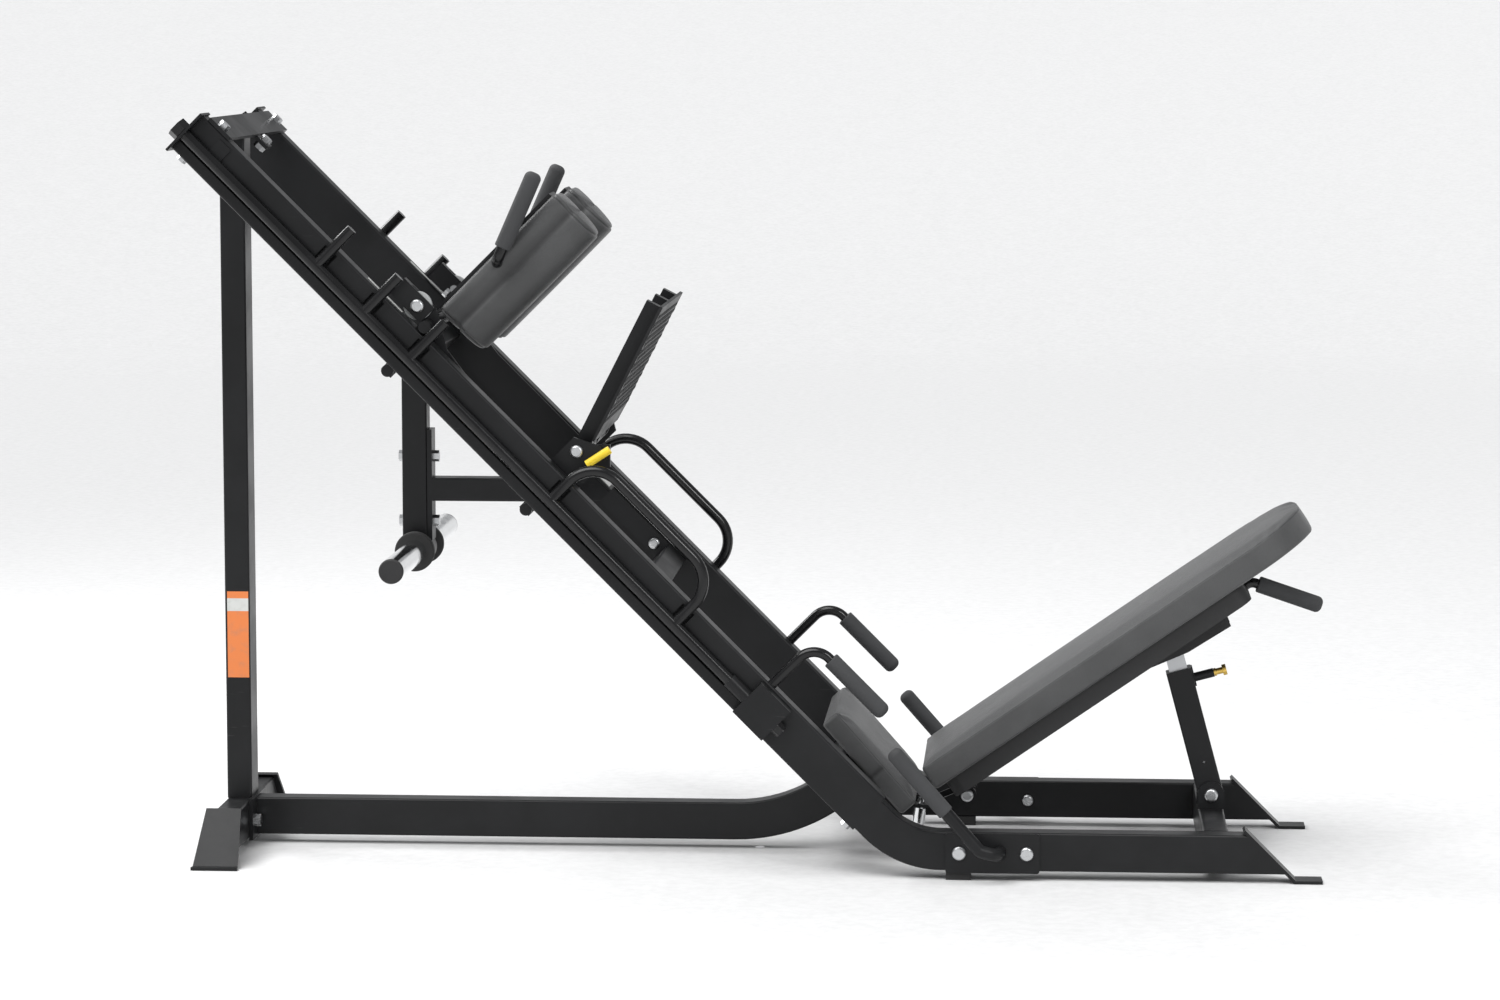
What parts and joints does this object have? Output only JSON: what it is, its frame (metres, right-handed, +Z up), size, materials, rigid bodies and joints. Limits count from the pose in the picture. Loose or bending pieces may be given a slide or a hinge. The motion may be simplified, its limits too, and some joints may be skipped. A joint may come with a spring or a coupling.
{
  "type": "leg press and hack squat machine",
  "caption": "Plate-loaded 45-degree leg press and hack squat machine with a roller carriage, shoulder pads, folding foot plate, sloped seat and strut-held back pad.",
  "frame": {"origin": "floor level, centre of the overall bounding box", "axes": "+X from the upright post towards the back pad, +Y to the left side, +Z up; the rails fall at 45 degrees towards +X"},
  "size_m": [2.2622, 0.79, 1.4919],
  "materials": {
    "frame_black": "satin black powder coat",
    "gloss_black": "gloss black coat",
    "foam_grip": "matte foam rubber",
    "pad_vinyl": "charcoal upholstery vinyl, fine grain",
    "black_rubber": "matte",
    "black_plastic": "textured black",
    "roller_plastic": "pale grey nylon",
    "bolt_steel": "zinc plated",
    "chrome": "polished",
    "silver_tube": "satin plated",
    "gold_pin": "yellow zinc plate",
    "yellow_handle": "gloss yellow",
    "label": "blank printed film"
  },
  "bodies": {
    "frame": {"rear_base": "frame_black", "upright_post": "frame_black", "base_beam": "frame_black", "top_crossmember": "frame_black", "lower_crossmember": "frame_black", "strut_crossmember": "frame_black", "runner_pads": "black_rubber", "frame_labels": "label", "frame_bolts": "bolt_steel", "back_hinge_arm": "frame_black", "seat_bracket": "frame_black", "seat_pad": "pad_vinyl", "side_grips": "foam_grip", "rail_grips": "foam_grip", "rail_right": "frame_black", "lower_rail_right": "frame_black", "runner_right": "frame_black", "side_handle_right": "frame_black", "rail_handle_right": "gloss_black", "rail_left": "frame_black", "lower_rail_left": "frame_black", "runner_left": "frame_black", "side_handle_left": "frame_black", "rail_handle_left": "gloss_black"},
    "lock_right": {"lock_rod_right": "gloss_black"},
    "lock_left": {"lock_rod_left": "gloss_black"},
    "roller_right": {"top_roller_right": "roller_plastic"},
    "roller_left": {"top_roller_left": "roller_plastic"},
    "foot_plate": {"foot_frame": "frame_black", "foot_tread": "frame_black"},
    "foot_pull": {"foot_pin": "yellow_handle"},
    "back_rest": {"back_pad": "pad_vinyl", "back_board": "black_plastic", "pad_handle": "gloss_black", "pad_grip": "foam_grip"},
    "strut_lower": {"strut_outer": "frame_black"},
    "strut_upper": {"strut_inner": "silver_tube"},
    "strut_pull": {"strut_pin": "gold_pin"},
    "seat_pull": {"seat_pin": "chrome"},
    "carriage": {"carriage_side_right": "frame_black", "carriage_side_left": "frame_black", "carriage_cross": "frame_black", "carriage_deck": "frame_black", "carriage_label": "label", "carriage_bolts": "bolt_steel", "stop_bar": "frame_black", "weight_column": "frame_black", "weight_arm": "frame_black", "weight_horn": "chrome", "horn_caps": "black_plastic", "bumper_discs": "black_rubber", "shoulder_board_right": "frame_black", "shoulder_board_left": "frame_black", "shoulder_pad_right": "pad_vinyl", "shoulder_pad_left": "pad_vinyl", "shoulder_handle_right": "gloss_black", "shoulder_handle_left": "gloss_black", "shoulder_grips": "foam_grip", "foot_pin_block": "frame_black"}
  },
  "joints": [
    {"name": "carriage_slide", "type": "slide", "parent": "frame", "child": "carriage", "axis": [-0.7071, 0, 0.7071], "range_m": [0, 0.38]},
    {"name": "roller_spin_right", "type": "hinge", "parent": "carriage", "child": "roller_right", "pos_m": [-0.65271, -0.268, 1.11647], "axis": [0, 1, 0], "continuous": true},
    {"name": "roller_spin_left", "type": "hinge", "parent": "carriage", "child": "roller_left", "pos_m": [-0.65271, 0.268, 1.11647], "axis": [0, 1, 0], "continuous": true},
    {"name": "lock_turn_right", "type": "hinge", "parent": "frame", "child": "lock_right", "pos_m": [-0.53003, -0.332, 0.88419], "axis": [0.7071, 0, -0.7071], "range_deg": [0, 70]},
    {"name": "lock_turn_left", "type": "hinge", "parent": "frame", "child": "lock_left", "pos_m": [-0.53003, 0.332, 0.88419], "axis": [-0.7071, 0, 0.7071], "range_deg": [0, 70]},
    {"name": "foot_plate_tilt", "type": "hinge", "parent": "carriage", "child": "foot_plate", "pos_m": [-0.343, 0, 0.831], "axis": [0, -1, 0], "range_deg": [0, 18]},
    {"name": "foot_pin_pull", "type": "slide", "parent": "carriage", "child": "foot_pull", "axis": [0, -1, 0], "range_m": [0, 0.012], "stiffness_N_per_m": 600, "springref_m": -0.004},
    {"name": "back_rest_tilt", "type": "hinge", "parent": "frame", "child": "back_rest", "pos_m": [0.421, 0, 0.119], "axis": [0, -1, 0], "range_deg": [0, 12]},
    {"name": "strut_swing", "type": "hinge", "parent": "frame", "child": "strut_lower", "pos_m": [0.911, 0, 0.1227], "axis": [0, -1, 0], "range_deg": [0, 8]},
    {"name": "strut_extend", "type": "slide", "parent": "strut_lower", "child": "strut_upper", "axis": [-0.2608, 0, 0.9654], "range_m": [0, 0.105]},
    {"name": "strut_pin_pull", "type": "slide", "parent": "strut_lower", "child": "strut_pull", "axis": [0.9654, 0, 0.2608], "range_m": [0, 0.01], "stiffness_N_per_m": 600, "springref_m": -0.004},
    {"name": "seat_pin_pull", "type": "slide", "parent": "frame", "child": "seat_pull", "axis": [-0.1469, 0, -0.9892], "range_m": [0, 0.01], "stiffness_N_per_m": 600, "springref_m": -0.006}
  ],
  "couplings": [
    {"joint": "strut_swing", "follows": "back_rest_tilt", "ratio": 0.56689},
    {"joint": "strut_extend", "follows": "back_rest_tilt", "m_per_rad": 0.46765}
  ]
}
